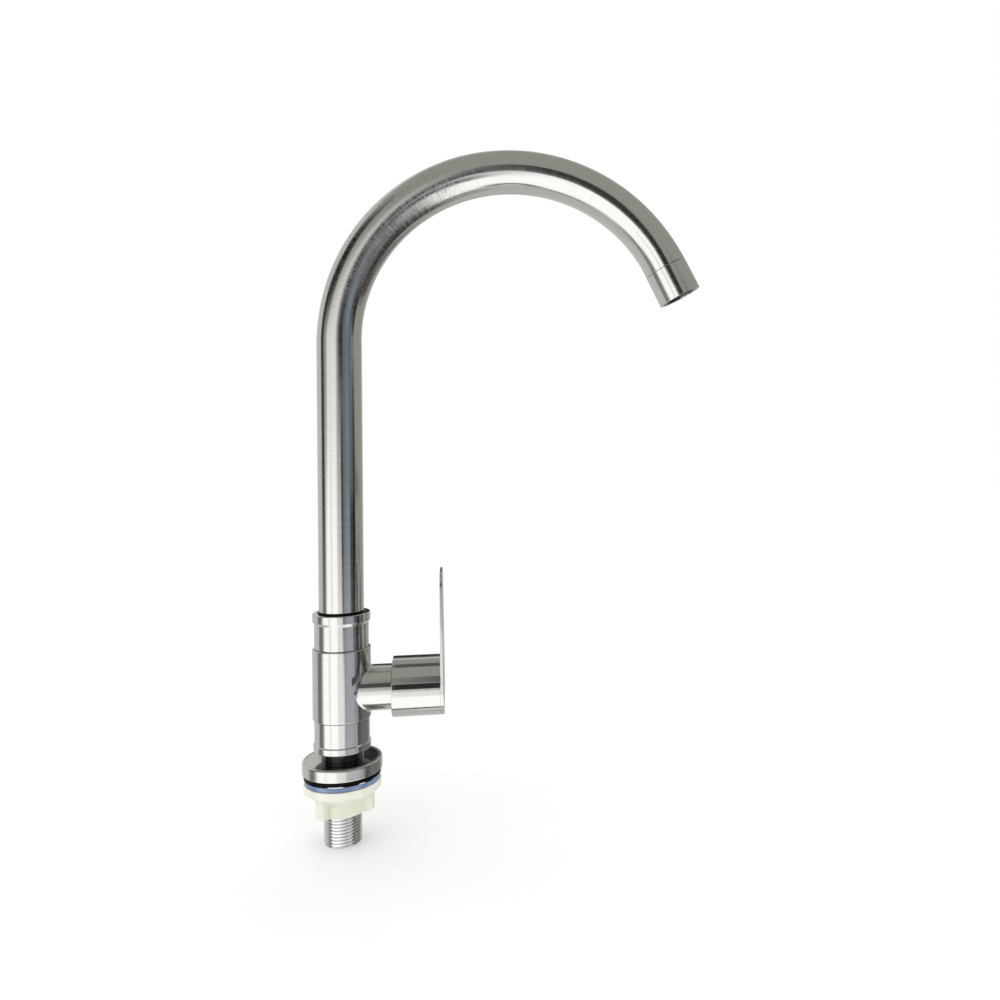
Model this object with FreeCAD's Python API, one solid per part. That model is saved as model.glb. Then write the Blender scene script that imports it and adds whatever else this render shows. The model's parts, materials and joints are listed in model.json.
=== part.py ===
import FreeCAD, Part
import math
import os

# Kitchen tap with a swan-neck swivel spout and a quarter-turn valve on its right side.
# Millimetres. The origin is on the tap's axis, on the seating face under the cover flange.
# Z points up, X points along the side branch to the lever, Y points to the back.

# Fits
fit_gap = 0.05           # radial gap between pieces that fit in each other
film_gap = 0.05          # axial gap between sliding ceramic or bearing faces
edge_bevel = 0.4         # bevel on turned outer edges

# Spout tube
tube_dia = 25.0
tube_wall = 1.0
riser_height = 153.5     # straight tube showing above the upper collar
bend_radius = 100.0      # centre line of the swan neck
bend_angle = 153.1       # degrees, from straight up over the top to the outlet
spout_turn = -4.2        # degrees about the tap's axis, where the spout rests

# Outlet
nozzle_dia = 25.6
nozzle_length = 19.0
nozzle_spigot = 4.0      # length of nozzle inside the tube
nozzle_spigot_ease = 0.12  # how much thinner the spigot's end is, where the tube curves
nozzle_throat_dia = 18.4
aerator_dia = 22.0
aerator_length = 9.4
aerator_recess = 0.6     # from the nozzle's lip to the aerator
aerator_wall = 1.2
aerator_ledge = 1.0      # inward lip that carries the screens
washer_height = 1.5
core_plate = 2.0
core_skirt = 0.7
screen_height = 0.42
screen_hole_dia = 1.1
screen_hole_pitch = 1.9
core_hole_dia = 1.8
core_hole_pitch = 3.4

# Swivel joint at the foot of the tube
plug_height = 12.0       # stem's length inside the tube
stem_dia = 18.0
stem_bore_dia = 12.0
ring_groove_depth = 1.25
ring_groove_height = 1.9
stem_ring_inset = 3.9    # from each end of the collar's narrow bore to an O-ring's middle
slip_ring_height = 2.0
clip_height = 1.0
clip_groove_depth = 1.2
clip_reach = 1.6         # how far the snap ring stands out of its groove
clip_opening = 70.0      # degrees
clip_washer_height = 1.0
stem_tail = 1.2          # stem below the snap ring

# Upper collar
upper_collar_dia = 30.1
upper_collar_height = 20.0
upper_rim_dia = 32.0
upper_rim_height = 4.5
rim_slope = 1.5          # cone between rim and neck
collar_play = 0.4        # gap around the tube in the collar's mouth
cup_depth = 14.0         # depth of the collar's mouth
spigot_dia = 24.0
spigot_length = 8.0
spigot_ring_drop = 2.8   # from the body's top face to the O-ring's middle

# Body and side branch
body_dia = 32.3
body_height = 40.0
valve_rise = 16.0        # valve's axis above the body's foot
branch_dia = 26.0
branch_mouth = 33.0      # end of the branch, from the tap's axis
shank_seat_depth = 5.0
duct_dia = 9.0
outlet_duct_dia = 6.0
top_bore_spare = 4.5     # room under the collar's spigot

# Lower collar, neck ring and flange
lower_collar_dia = 30.6
lower_collar_height = 17.6
lower_rim_dia = 31.9
lower_rim_height = 4.1
lower_rim_slope = 0.6
neck_ring_dia = 22.6
neck_ring_height = 5.6
neck_ring_foot = 2.2     # height of the wider foot of the neck ring
neck_ring_flare = 0.4
flange_dia = 44.2
flange_height = 6.8
flange_wall = 2.2
flange_bevel = 0.6
flange_boss_dia = 26.0
flange_lip_inset = 1.5   # fine ring line near the flange's upper edge
flange_lip_depth = 0.25

# Threaded shank, G1/2
thread_dia = 20.955
thread_pitch = 1.8143
thread_depth = 1.162
thread_crest = 0.36      # flat on top of the thread
thread_root = 0.30       # flat between two turns
thread_reach = 41.7      # below the seating face
thread_runout = 3.0      # above the seating face
thread_clear = 0.15      # how far the groove's section reaches past the crest
shank_dia = 20.6
shank_bore_dia = 14.0
shank_bevel = 1.0

# Clamping set
rubber_washer_dia = 42.6
rubber_washer_height = 2.3
clamp_washer_dia = 41.8
clamp_washer_height = 3.5
clamp_washer_bevel = 0.5
washer_hole_play = 0.4   # radial, around the thread
nut_dia = 42.8
nut_height = 17.6
nut_flange_height = 4.6
nut_cone_height = 5.6
nut_boss_dia = 26.4
nut_lug_reach = 17.4     # from the axis to a lug's end
nut_lug_width = 6.2
nut_lug_count = 3
nut_lug_turn = 111.0     # degrees, direction of one lug
nut_thread_play = 0.06

# Valve cartridge, places along X from the tap's axis
valve_seat_x = 6.0
seal_height = 1.5
seal_bore_dia = 9.4
cartridge_dia = 18.0
cartridge_wall = 1.0
cartridge_length = 14.5  # from the fixed disc to the shoulder
cartridge_cup = 9.6      # depth of the cup that holds the discs
shoulder_dia = 21.9
shoulder_height = 2.0
cartridge_neck_dia = 13.0
cartridge_neck_length = 13.0
disc_height = 2.5
disc_play = 0.1
port_inner = 1.6
port_outer = 6.4
port_angle = 80.0        # degrees, each of two sector ports
window_width = 9.0
window_length = 5.8
cartridge_groove_back = 3.0
tang_width = 3.0
tang_length = 11.0
tang_height = 1.6
driver_dia = 14.8
spindle_dia = 9.0
spindle_head_dia = 8.0
spindle_head_length = 14.8
spline_count = 12
spline_depth = 0.5
spline_width = 0.9
spindle_ring_first = 2.0
spindle_ring_step = 4.0
spindle_clip_dia = 12.0
spindle_clip_height = 0.9
spindle_groove_depth = 0.9
gland_nut_hex = 21.0     # across flats
gland_nut_head = 3.0
gland_bore_dia = 13.2

# Handle
sleeve_dia = 34.4
sleeve_wall = 1.5
sleeve_start = 28.6
handle_end = 57.8        # outer face of the lever, from the tap's axis
blade_thickness = 2.0
lever_height = 67.0      # top of the lever above the valve's axis
lever_corner = 9.0
lever_edge = 0.3
hub_length = 9.0
screw_dia = 5.0
screw_recess = 0.8
screw_hex = 2.5
screw_socket_depth = 2.5
screw_hole_play = 0.2

# Heights worked out from the stack on the tap's axis
neck_z = flange_height
lower_collar_z = neck_z + neck_ring_height
body_z = lower_collar_z + lower_collar_height
body_top_z = body_z + body_height
upper_rim_z = body_top_z + upper_collar_height
valve_z = body_z + valve_rise
cup_floor_z = upper_rim_z - cup_depth
tube_foot_z = cup_floor_z + slip_ring_height
bend_z = upper_rim_z + riser_height
spigot_z = body_top_z - spigot_length
top_bore_z = spigot_z - top_bore_spare
clip_top_z = spigot_z - clip_washer_height
stem_z = clip_top_z - clip_height - stem_tail
washer_z = -rubber_washer_height
nut_z = washer_z - clamp_washer_height

# Radii shared by pieces that fit each other
tube_r = tube_dia / 2
tube_in_r = tube_r - tube_wall
stem_r = stem_dia / 2
stem_bore_r = stem_dia / 2 + fit_gap
spigot_r = spigot_dia / 2
top_bore_r = spigot_r + fit_gap
shank_r = shank_dia / 2
thread_r = thread_dia / 2
root_r = thread_r - thread_depth
cartridge_r = cartridge_dia / 2
valve_bore_r = cartridge_r + fit_gap
cup_r = cartridge_r - cartridge_wall
disc_r = cup_r - disc_play
spindle_r = spindle_dia / 2
gland_r = shoulder_dia / 2
sleeve_in_r = sleeve_dia / 2 - sleeve_wall
nozzle_r = nozzle_dia / 2
aerator_r = aerator_dia / 2

# Places along the valve's axis
disc_x = valve_seat_x + seal_height
moving_disc_x = disc_x + disc_height + film_gap
driver_x = moving_disc_x + disc_height + film_gap
cup_floor_x = disc_x + cartridge_cup
shoulder_x = disc_x + cartridge_length
neck_x = shoulder_x + shoulder_height
neck_end_x = neck_x + cartridge_neck_length
clip_x = neck_end_x + film_gap
head_x = clip_x + spindle_clip_height + film_gap
blade_x = handle_end - blade_thickness
hub_x = blade_x - hub_length
screw_x = hub_x + hub_length / 2

# Places along the outlet, from the end of the bend
washer_seat = nozzle_length - aerator_recess - aerator_length - washer_height
housing_top = washer_seat + washer_height
housing_end = housing_top + aerator_length
ledge_top = housing_end - aerator_ledge
screen_top = ledge_top - 2 * screen_height - fit_gap


def vec(x, y, z):
    return FreeCAD.Vector(x, y, z)


def turned(points):
    """Solid of revolution about Z from its half section, given as (radius, height) points."""
    corners = [vec(r, 0, z) for r, z in points]
    outline = Part.makePolygon(corners + corners[:1])
    return Part.Face(outline).revolve(vec(0, 0, 0), vec(0, 0, 1), 360)


def rod(radius, low, high):
    """Cylinder on the Z axis."""
    return Part.makeCylinder(radius, high - low, vec(0, 0, low))


def ring(inner, outer, low, high):
    """Flat ring on the Z axis."""
    return rod(outer, low, high).cut(rod(inner, low - 1, high + 1))


def o_ring(groove_r, bore_r, middle):
    """Round rubber ring between a groove's floor and the bore around it."""
    section_r = (bore_r - groove_r) / 2 - fit_gap
    return Part.makeTorus((bore_r + groove_r) / 2, section_r, vec(0, 0, middle))


def snap_ring(inner, outer, low, height, opening):
    """Flat open ring with a gap that faces -X."""
    disc = ring(inner, outer, low, low + height)
    gap = Part.makeCylinder(outer * 2, height + 2, vec(0, 0, low - 1), vec(0, 0, 1), opening)
    gap.rotate(vec(0, 0, 0), vec(0, 0, 1), 180 - opening / 2)
    return disc.cut(gap)


def hole_grid(radius, pitch, reach, low, high):
    """Round holes on a triangular grid, as far out as the reach allows."""
    holes = []
    rows = int(reach / pitch) + 1
    for i in range(-2 * rows, 2 * rows + 1):
        for j in range(-rows, rows + 1):
            x = pitch * (i + 0.5 * j)
            y = pitch * math.sqrt(3) / 2 * j
            if math.hypot(x, y) + radius <= reach:
                holes.append(Part.makeCylinder(radius, high - low, vec(x, y, low)))
    return holes


def on_spout(shape):
    """Turns a piece that was built with the spout along X to where the spout rests."""
    shape.rotate(vec(0, 0, 0), vec(0, 0, 1), spout_turn)
    return shape


def at_outlet(shape):
    """Moves a piece built along Z, with the end of the bend at z = 0, to the outlet."""
    angle = math.radians(bend_angle)
    end = vec(bend_radius * (1 - math.cos(angle)), 0, bend_z + bend_radius * math.sin(angle))
    shape.rotate(vec(0, 0, 0), vec(0, 1, 0), bend_angle)
    shape.translate(end)
    return on_spout(shape)


def on_valve(shape):
    """Lays a piece built along Z onto the valve's axis, which runs along X."""
    shape.rotate(vec(0, 0, 0), vec(0, 1, 0), 90)
    shape.translate(vec(0, 0, valve_z))
    return shape


def swan_neck(radius):
    """Solid rod along the spout's centre line, from the tube's foot to the end of the bend."""
    section = Part.Face(Part.Wire(Part.makeCircle(radius, vec(0, 0, bend_z))))
    neck = section.revolve(vec(bend_radius, 0, bend_z), vec(0, 1, 0), bend_angle)
    return rod(radius, tube_foot_z, bend_z).fuse(neck).removeSplitter()


def spout_tube():
    return on_spout(swan_neck(tube_r).cut(swan_neck(tube_in_r)))


def outlet_nozzle():
    throat = nozzle_throat_dia / 2
    spigot = tube_in_r - fit_gap
    socket = aerator_r + fit_gap
    return at_outlet(turned([
        (throat, -nozzle_spigot), (spigot - nozzle_spigot_ease, -nozzle_spigot), (spigot, 0),
        (nozzle_r, 0),
        (nozzle_r, nozzle_length - edge_bevel), (nozzle_r - edge_bevel, nozzle_length),
        (socket + edge_bevel, nozzle_length), (socket, nozzle_length - edge_bevel),
        (socket, washer_seat), (throat, washer_seat)]))


def aerator_washer():
    return at_outlet(ring(nozzle_throat_dia / 2, aerator_r - fit_gap, washer_seat, housing_top))


def aerator_housing():
    inner = aerator_r - aerator_wall
    lip = inner - aerator_ledge
    return at_outlet(turned([
        (inner, housing_top), (aerator_r, housing_top), (aerator_r, housing_end - edge_bevel),
        (aerator_r - edge_bevel, housing_end), (lip, housing_end), (lip, ledge_top),
        (inner, ledge_top)]))


def aerator_core():
    outer = aerator_r - aerator_wall - fit_gap
    plate_top = housing_top + core_plate / 2
    plate_end = plate_top + core_plate
    plate = rod(outer, plate_top, plate_end)
    skirt = ring(outer - core_skirt, outer, plate_end - core_plate / 2, screen_top)
    holes = hole_grid(core_hole_dia / 2, core_hole_pitch, outer - 2 * core_skirt,
                      plate_top - 1, plate_end + 1)
    return at_outlet(plate.fuse(skirt).removeSplitter().cut(Part.makeCompound(holes)))


def aerator_screens():
    outer = aerator_r - aerator_wall - fit_gap
    clear = outer - aerator_ledge
    discs = []
    for top in (screen_top, ledge_top - screen_height):
        disc = rod(outer, top, top + screen_height)
        holes = hole_grid(screen_hole_dia / 2, screen_hole_pitch, clear, top - 1, top + 1 + screen_height)
        discs.append(disc.cut(Part.makeCompound(holes)))
    return at_outlet(Part.makeCompound(discs))


def stem_ring_heights():
    """Middles of the two O-ring grooves, inside the collar's narrow bore."""
    return [spigot_z + stem_ring_inset, cup_floor_z - stem_ring_inset]


def swivel_stem():
    plug_r = tube_in_r - fit_gap
    bore = stem_bore_dia / 2
    clip_z = clip_top_z - clip_height
    stem = turned([
        (bore, stem_z), (stem_r - edge_bevel, stem_z), (stem_r, stem_z + edge_bevel),
        (stem_r, tube_foot_z), (plug_r, tube_foot_z), (plug_r, tube_foot_z + plug_height),
        (bore, tube_foot_z + plug_height)])
    for middle in stem_ring_heights():
        half = ring_groove_height / 2
        stem = stem.cut(ring(stem_r - ring_groove_depth, stem_r + 1, middle - half, middle + half))
    groove = ring(stem_r - clip_groove_depth, stem_r + 1, clip_z - film_gap, clip_top_z)
    return on_spout(stem.cut(groove))


def stem_o_rings():
    rings = [o_ring(stem_r - ring_groove_depth, stem_bore_r, z) for z in stem_ring_heights()]
    return on_spout(Part.makeCompound(rings))


def retaining_clip():
    inner = stem_r - clip_groove_depth + fit_gap
    outer = stem_r + clip_reach
    low = clip_top_z - clip_height
    return on_spout(snap_ring(inner, outer, low, clip_height - film_gap, clip_opening))


def slip_ring():
    return ring(stem_bore_r + 2 * fit_gap, tube_r, cup_floor_z, tube_foot_z - film_gap)


def clip_washer():
    return ring(stem_bore_r + fit_gap, stem_r + clip_reach, clip_top_z, spigot_z)


def spigot_groove():
    """Lower and upper end of the O-ring groove in the collar's spigot."""
    middle = body_top_z - spigot_ring_drop
    return middle - ring_groove_height / 2, middle + ring_groove_height / 2


def upper_collar():
    mouth = tube_r + collar_play
    neck = upper_collar_dia / 2
    rim = upper_rim_dia / 2
    rim_z = upper_rim_z - upper_rim_height
    collar = turned([
        (stem_bore_r, spigot_z), (spigot_r, spigot_z), (spigot_r, body_top_z), (neck, body_top_z),
        (neck, rim_z - rim_slope), (rim, rim_z), (rim, upper_rim_z - edge_bevel),
        (rim - edge_bevel, upper_rim_z), (mouth + edge_bevel, upper_rim_z),
        (mouth, upper_rim_z - edge_bevel), (mouth, cup_floor_z), (stem_bore_r, cup_floor_z)])
    low, high = spigot_groove()
    return collar.cut(ring(spigot_r - ring_groove_depth, spigot_r + 1, low, high))


def collar_o_ring():
    low, high = spigot_groove()
    return o_ring(spigot_r - ring_groove_depth, top_bore_r, (low + high) / 2)


def tee_body():
    outer = body_dia / 2
    body = turned([
        (0, body_z), (outer - edge_bevel, body_z), (outer, body_z + edge_bevel),
        (outer, body_top_z - edge_bevel), (outer - edge_bevel, body_top_z), (0, body_top_z)])
    duct_r = duct_dia / 2
    shank_seat_z = body_z + shank_seat_depth
    shank_seat = rod(shank_r + fit_gap, body_z - 1, shank_seat_z)
    top_bore = rod(top_bore_r, top_bore_z, body_top_z + 1)
    riser = rod(duct_r, shank_seat_z - 1, valve_z)
    elbow = Part.makeSphere(duct_r, vec(0, 0, valve_z))
    cross_duct = on_valve(rod(duct_r, 0, valve_seat_x + 1))
    valve_bore = on_valve(rod(valve_bore_r, valve_seat_x, outer + 1))
    start = vec(top_bore_r - outlet_duct_dia / 2, 0, top_bore_z + 1)
    end = vec(driver_x, 0, valve_z + cup_r / 2)
    outlet = Part.makeCylinder(outlet_duct_dia / 2, (end - start).Length, start, end - start)
    return body.cut([shank_seat, top_bore, riser, elbow, cross_duct, valve_bore, outlet])


def valve_socket():
    branch = on_valve(turned([
        (0, 0), (branch_dia / 2, 0), (branch_dia / 2, branch_mouth - edge_bevel),
        (branch_dia / 2 - edge_bevel, branch_mouth), (0, branch_mouth)]))
    bore = on_valve(rod(valve_bore_r, 0, shoulder_x + 1))
    counterbore = on_valve(rod(gland_r + fit_gap, shoulder_x, branch_mouth + 1))
    saddle = rod(body_dia / 2, body_z, body_top_z)
    return branch.cut([saddle, bore, counterbore])


def lower_collar():
    bore = shank_r + 2 * fit_gap
    neck = lower_collar_dia / 2
    rim = lower_rim_dia / 2
    rim_z = lower_collar_z + lower_rim_height
    return turned([
        (bore, lower_collar_z), (rim - edge_bevel, lower_collar_z), (rim, lower_collar_z + edge_bevel),
        (rim, rim_z - lower_rim_slope), (neck, rim_z), (neck, body_z), (bore, body_z)])


def shank_groove_z():
    """Middle of the O-ring groove at the shank's upper end."""
    return body_z + shank_seat_depth / 2


def thread_groove(low, high):
    """Helical groove between the turns of the pipe thread, cut from its upper end downwards."""
    slope = (thread_pitch - thread_root - thread_crest) / 2 / thread_depth
    half_root = thread_root / 2
    half_mouth = half_root + slope * (thread_depth + thread_clear)
    turns = math.ceil((high - low) / thread_pitch) + 1
    edges = []
    for i in range(turns):
        turn = Part.makeHelix(thread_pitch, thread_pitch, root_r)
        turn.translate(vec(0, 0, i * thread_pitch))
        edges.extend(turn.Edges)
    corners = [vec(root_r, 0, -half_root), vec(thread_r + thread_clear, 0, -half_mouth),
               vec(thread_r + thread_clear, 0, half_mouth), vec(root_r, 0, half_root)]
    section = Part.makePolygon(corners + corners[:1])
    groove = Part.Wire(edges).makePipeShell([section], True, True)
    groove.translate(vec(0, 0, high - turns * thread_pitch))
    return groove


def inlet_shank():
    low = -thread_reach
    top = body_z + shank_seat_depth
    shank = turned([
        (0, low), (thread_r - shank_bevel, low), (thread_r, low + shank_bevel),
        (thread_r, thread_runout), (shank_r, thread_runout), (shank_r, top), (0, top)])
    half = ring_groove_height / 2
    groove_z = shank_groove_z()
    groove = ring(shank_r - ring_groove_depth, shank_r + 1, groove_z - half, groove_z + half)
    bore = rod(shank_bore_dia / 2, low - 1, top + 1)
    thread = thread_groove(low, thread_runout - thread_pitch / 2)
    return shank.cut(groove).cut(bore).cut(thread)


def shank_o_ring():
    return o_ring(shank_r - ring_groove_depth, shank_r + fit_gap, shank_groove_z())


def neck_ring():
    bore = shank_r + 2 * fit_gap
    outer = neck_ring_dia / 2
    foot = outer + neck_ring_flare
    return turned([
        (bore, neck_z), (foot, neck_z), (foot, neck_z + neck_ring_foot / 2),
        (outer, neck_z + neck_ring_foot), (outer, lower_collar_z), (bore, lower_collar_z)])


def base_flange():
    outer = flange_dia / 2
    bore = thread_r + washer_hole_play
    boss = flange_boss_dia / 2
    roof = flange_height - flange_wall
    lip = outer - flange_lip_inset
    shell = turned([
        (bore, 0), (boss, 0), (boss, roof), (outer - flange_wall, roof), (outer - flange_wall, 0),
        (outer, 0), (outer, flange_height - flange_bevel), (outer - flange_bevel, flange_height),
        (bore, flange_height)])
    line = ring(lip - 2 * flange_lip_depth, lip, flange_height - flange_lip_depth, flange_height + 1)
    return shell.cut(line)


def rubber_washer():
    return ring(thread_r + washer_hole_play, rubber_washer_dia / 2, washer_z, 0)


def clamp_washer():
    outer = clamp_washer_dia / 2
    bore = thread_r + washer_hole_play
    bevel = clamp_washer_bevel
    return turned([
        (bore, nut_z), (outer - bevel, nut_z), (outer, nut_z + bevel), (outer, washer_z - bevel),
        (outer - bevel, washer_z), (bore, washer_z)])


def backnut():
    outer = nut_dia / 2
    boss = nut_boss_dia / 2
    bore = thread_r + nut_thread_play
    foot_z = nut_z - nut_height
    rim_z = nut_z - nut_flange_height
    cone_z = rim_z - nut_cone_height
    nut = turned([
        (bore, nut_z), (outer - edge_bevel, nut_z), (outer, nut_z - edge_bevel), (outer, rim_z),
        (boss, cone_z), (boss, foot_z), (bore, foot_z)])
    lug_middle = (boss + bore) / 2
    for i in range(nut_lug_count):
        lug = Part.makeBox(nut_lug_reach - lug_middle, nut_lug_width, rim_z - foot_z,
                           vec(lug_middle, -nut_lug_width / 2, foot_z))
        end_edges = [e for e in lug.Edges
                     if min(v.Point.x for v in e.Vertexes) > nut_lug_reach - 0.1]
        lug = lug.makeFillet(edge_bevel * 2, end_edges)
        lug.rotate(vec(0, 0, 0), vec(0, 0, 1), nut_lug_turn + i * 360 / nut_lug_count)
        nut = nut.fuse(lug)
    return nut.removeSplitter()


def sector_ports(low, high):
    """Two opposite sector-shaped ports, for a ceramic disc."""
    ports = []
    for side in (0, 180):
        port = ring(port_inner, port_outer, low, high)
        wedge = Part.makeCylinder(port_outer + 1, high - low, vec(0, 0, low), vec(0, 0, 1), port_angle)
        wedge.rotate(vec(0, 0, 0), vec(0, 0, 1), side - port_angle / 2)
        ports.append(port.common(wedge))
    return ports


def seat_seal():
    return on_valve(ring(seal_bore_dia / 2, cartridge_r, valve_seat_x, disc_x))


def fixed_disc():
    disc = rod(disc_r, disc_x, disc_x + disc_height)
    return on_valve(disc.cut(sector_ports(disc_x - 1, disc_x + disc_height + 1)))


def moving_disc():
    back = moving_disc_x + disc_height
    disc = rod(disc_r - disc_play, moving_disc_x, back)
    ports = sector_ports(moving_disc_x - 1, back + 1)
    slot = Part.makeBox(tang_width + 2 * fit_gap, 2 * disc_r, tang_height + 1,
                        vec(-tang_width / 2 - fit_gap, -disc_r, back - tang_height))
    turned_ports = Part.makeCompound(ports)
    turned_ports.rotate(vec(0, 0, 0), vec(0, 0, 1), 90)
    return on_valve(disc.cut([turned_ports, slot]))


def cartridge_groove():
    """Lower and upper end, along the valve's axis, of the groove in the cartridge."""
    middle = shoulder_x - cartridge_groove_back / 2
    return middle - ring_groove_height / 2, middle + ring_groove_height / 2


def cartridge_body():
    bearing = spindle_r + fit_gap
    neck = cartridge_neck_dia / 2
    body = turned([
        (cup_r, disc_x), (cartridge_r, disc_x), (cartridge_r, shoulder_x), (gland_r, shoulder_x),
        (gland_r, neck_x), (neck, neck_x), (neck, neck_end_x), (bearing, neck_end_x),
        (bearing, cup_floor_x), (cup_r, cup_floor_x)])
    low, high = cartridge_groove()
    groove = ring(cartridge_r - ring_groove_depth, cartridge_r + 1, low, high)
    window_x = moving_disc_x + window_length / 2
    window = Part.makeBox(4 * cartridge_r, window_width, window_length,
                          vec(-2 * cartridge_r, -window_width / 2, window_x - window_length / 2))
    return on_valve(body.cut([groove, window]))


def cartridge_o_ring():
    low, high = cartridge_groove()
    return on_valve(o_ring(cartridge_r - ring_groove_depth, valve_bore_r, (low + high) / 2))


def retaining_nut():
    hexagon = Part.makePolygon([vec(gland_nut_hex / math.sqrt(3) * math.cos(math.radians(60 * i)),
                                    gland_nut_hex / math.sqrt(3) * math.sin(math.radians(60 * i)),
                                    branch_mouth) for i in range(7)])
    head = Part.Face(hexagon).extrude(vec(0, 0, gland_nut_head))
    nut = rod(gland_r, neck_x, branch_mouth).fuse(head)
    return on_valve(nut.cut(rod(gland_bore_dia / 2, neck_x - 1, branch_mouth + gland_nut_head + 1)))


def spindle_ring_places():
    first = cup_floor_x + 2 * spindle_ring_first + ring_groove_height
    return [first, first + spindle_ring_step]


def spindle():
    driver_end = cup_floor_x - film_gap
    head_end = head_x + spindle_head_length
    shaft = rod(driver_dia / 2, driver_x, driver_end)
    shaft = shaft.fuse(rod(spindle_r, driver_x, head_x))
    shaft = shaft.fuse(rod(spindle_head_dia / 2 - spline_depth, head_x - 1, head_end))
    tang = Part.makeBox(tang_width, tang_length, tang_height + 1,
                        vec(-tang_width / 2, -tang_length / 2, driver_x - tang_height))
    shaft = shaft.fuse(tang)
    for i in range(spline_count):
        tooth = Part.makeBox(spindle_head_dia / 2 - 1, spline_width, head_end - head_x - 1,
                             vec(1, -spline_width / 2, head_x + 1))
        tooth.rotate(vec(0, 0, 0), vec(0, 0, 1), i * 360 / spline_count)
        shaft = shaft.fuse(tooth)
    half = ring_groove_height / 2
    cuts = [ring(spindle_r - ring_groove_depth, spindle_r + 1, x - half, x + half)
            for x in spindle_ring_places()]
    clip_end = clip_x + spindle_clip_height
    cuts.append(ring(spindle_r - spindle_groove_depth, spindle_r + 1, clip_x, clip_end))
    return on_valve(shaft.cut(cuts).removeSplitter())


def spindle_o_rings():
    rings = [o_ring(spindle_r - ring_groove_depth, spindle_r + fit_gap, x)
             for x in spindle_ring_places()]
    return on_valve(Part.makeCompound(rings))


def spindle_clip():
    inner = spindle_r - spindle_groove_depth + fit_gap
    height = spindle_clip_height - film_gap
    return on_valve(snap_ring(inner, spindle_clip_dia / 2, clip_x, height, clip_opening))


def screw_hole(radius):
    """Cylinder on the fixing screw's axis, which points down from the valve's axis."""
    return Part.makeCylinder(radius, sleeve_dia, vec(0, 0, screw_x), vec(1, 0, 0))


def handle_hub():
    bore = spindle_head_dia / 2 + fit_gap
    hub = ring(bore, sleeve_in_r - fit_gap, hub_x, blade_x)
    return on_valve(hub.cut(screw_hole(screw_dia / 2 + fit_gap)))


def handle_sleeve():
    outer = sleeve_dia / 2
    sleeve = turned([
        (sleeve_in_r, sleeve_start), (outer - edge_bevel, sleeve_start),
        (outer, sleeve_start + edge_bevel), (outer, blade_x), (sleeve_in_r, blade_x)])
    return on_valve(sleeve.cut(screw_hole(screw_dia / 2 + screw_hole_play)))


def lever_blade():
    half = sleeve_dia / 2
    top = valve_z + lever_height
    shoulder = top - lever_corner
    inset = half - lever_corner
    slant = lever_corner * math.sqrt(0.5)
    x = blade_x
    left_side = Part.makeLine(vec(x, half, valve_z), vec(x, half, shoulder))
    left_corner = Part.Arc(vec(x, half, shoulder), vec(x, inset + slant, shoulder + slant),
                           vec(x, inset, top)).toShape()
    top_edge = Part.makeLine(vec(x, inset, top), vec(x, -inset, top))
    right_corner = Part.Arc(vec(x, -inset, top), vec(x, -inset - slant, shoulder + slant),
                            vec(x, -half, shoulder)).toShape()
    right_side = Part.makeLine(vec(x, -half, shoulder), vec(x, -half, valve_z))
    foot = Part.Arc(vec(x, -half, valve_z), vec(x, 0, valve_z - half),
                    vec(x, half, valve_z)).toShape()
    outline = Part.Wire([left_side, left_corner, top_edge, right_corner, right_side, foot])
    plate = Part.Face(outline).extrude(vec(blade_thickness, 0, 0))
    outer_edges = [e for e in plate.Edges if min(v.Point.x for v in e.Vertexes) > handle_end - 0.01]
    return plate.makeFillet(lever_edge, outer_edges)


def grub_screw():
    tip = spindle_head_dia / 2 + fit_gap
    end = sleeve_dia / 2 - screw_recess
    screw = Part.makeCylinder(screw_dia / 2, end - tip, vec(tip, 0, screw_x), vec(1, 0, 0))
    corner = screw_hex / math.sqrt(3)
    hexagon = Part.makePolygon([vec(end + 1, corner * math.cos(math.radians(60 * i)),
                                    screw_x + corner * math.sin(math.radians(60 * i)))
                                for i in range(7)])
    socket = Part.Face(hexagon).extrude(vec(-screw_socket_depth - 1, 0, 0))
    return on_valve(screw.cut(socket))


pieces = [
    spout_tube, outlet_nozzle, aerator_washer, aerator_housing, aerator_core, aerator_screens,
    swivel_stem, stem_o_rings, retaining_clip, slip_ring, clip_washer, upper_collar, collar_o_ring,
    tee_body, valve_socket, lower_collar, inlet_shank, shank_o_ring, neck_ring, base_flange,
    rubber_washer, clamp_washer, backnut, seat_seal, fixed_disc, moving_disc, cartridge_body,
    cartridge_o_ring, retaining_nut, spindle, spindle_o_rings, spindle_clip, handle_hub,
    handle_sleeve, lever_blade, grub_screw]

os.makedirs("parts", exist_ok=True)
for make in pieces:
    shape = make()
    shape.exportStep(f"parts/{make.__name__}.step")
    print(make.__name__, len(shape.Solids), "solid", round(shape.Volume, 1), "mm3",
          "valid" if shape.isValid() else "NOT VALID")
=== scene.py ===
import json
import math

import bpy
import numpy as np
from mathutils import Matrix, Vector


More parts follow.
